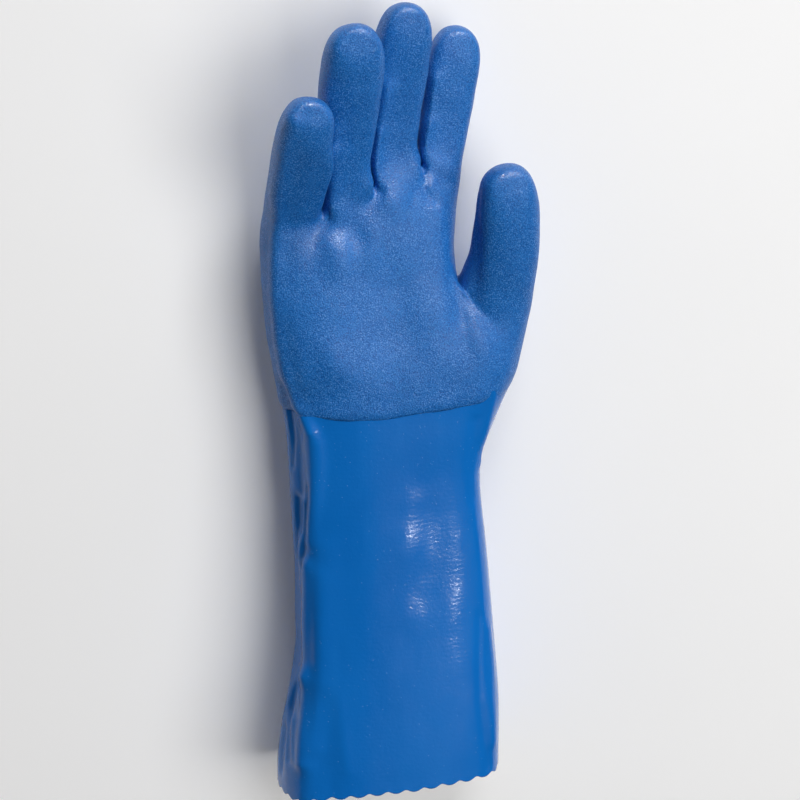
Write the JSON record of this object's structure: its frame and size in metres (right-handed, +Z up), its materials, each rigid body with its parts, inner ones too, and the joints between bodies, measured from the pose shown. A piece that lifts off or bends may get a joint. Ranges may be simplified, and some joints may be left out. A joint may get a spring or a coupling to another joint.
{
  "type": "pvc coated work glove",
  "caption": "Long right-hand PVC coated work glove with a rough coated hand, a smooth gauntlet and a scalloped hem, lying on its back with the palm up.",
  "frame": {"origin": "on the surface that the glove lies on, under the middle of its box", "axes": "+Z up out of the palm, +Y along the glove to the fingertips, +X towards the thumb"},
  "size_m": [0.121, 0.3502, 0.0645],
  "materials": {
    "rough_pvc": "rough sandy dipped PVC, light blue, matt with fine sparkle",
    "smooth_pvc": "smooth dipped PVC, deep blue, soft gloss"
  },
  "bodies": {
    "root": {"rough_hand": "rough_pvc", "smooth_gauntlet": "smooth_pvc"}
  },
  "joints": []
}
